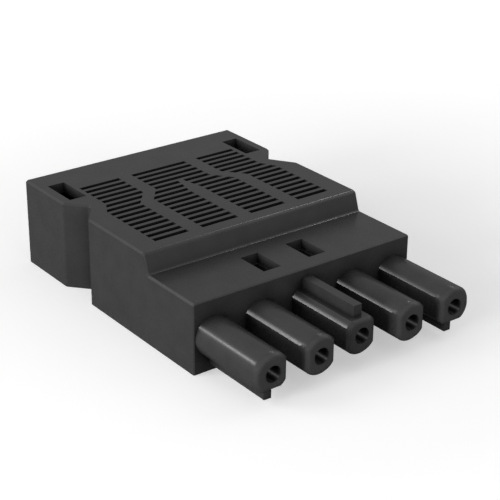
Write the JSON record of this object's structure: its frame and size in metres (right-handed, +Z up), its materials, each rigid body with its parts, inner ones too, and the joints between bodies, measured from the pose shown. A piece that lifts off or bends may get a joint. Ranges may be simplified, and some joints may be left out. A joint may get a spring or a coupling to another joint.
{
  "type": "female installation connector",
  "caption": "Flat black plug-in connector with a row of round contact sleeves at the front, a slotted top, side notches and a round cable entry at the rear.",
  "frame": {"origin": "centre of the bounding box's bottom, on the underside", "axes": "+X along the row of sleeves, +Y from the sleeves towards the cable entry, +Z up from the underside"},
  "size_m": [0.048, 0.0724, 0.0171],
  "materials": {
    "housing_plastic": "satin moulded",
    "cover_plastic": "satin moulded",
    "carrier_plastic": "matt moulded",
    "contact_metal": "turned",
    "spring_steel": "rolled strip",
    "screw_steel": "zinc plated"
  },
  "bodies": {
    "root": {"housing": "housing_plastic", "base_cover": "cover_plastic", "contact_carrier": "carrier_plastic", "conductor_guide": "carrier_plastic", "cable_clamp": "cover_plastic", "clamp_screws": "screw_steel", "contact_1": "contact_metal", "over_spring_1": "spring_steel", "clamp_spring_1": "spring_steel", "contact_2": "contact_metal", "over_spring_2": "spring_steel", "clamp_spring_2": "spring_steel", "contact_3": "contact_metal", "over_spring_3": "spring_steel", "clamp_spring_3": "spring_steel", "contact_4": "contact_metal", "over_spring_4": "spring_steel", "clamp_spring_4": "spring_steel", "contact_5": "contact_metal", "over_spring_5": "spring_steel", "clamp_spring_5": "spring_steel"}
  },
  "joints": []
}
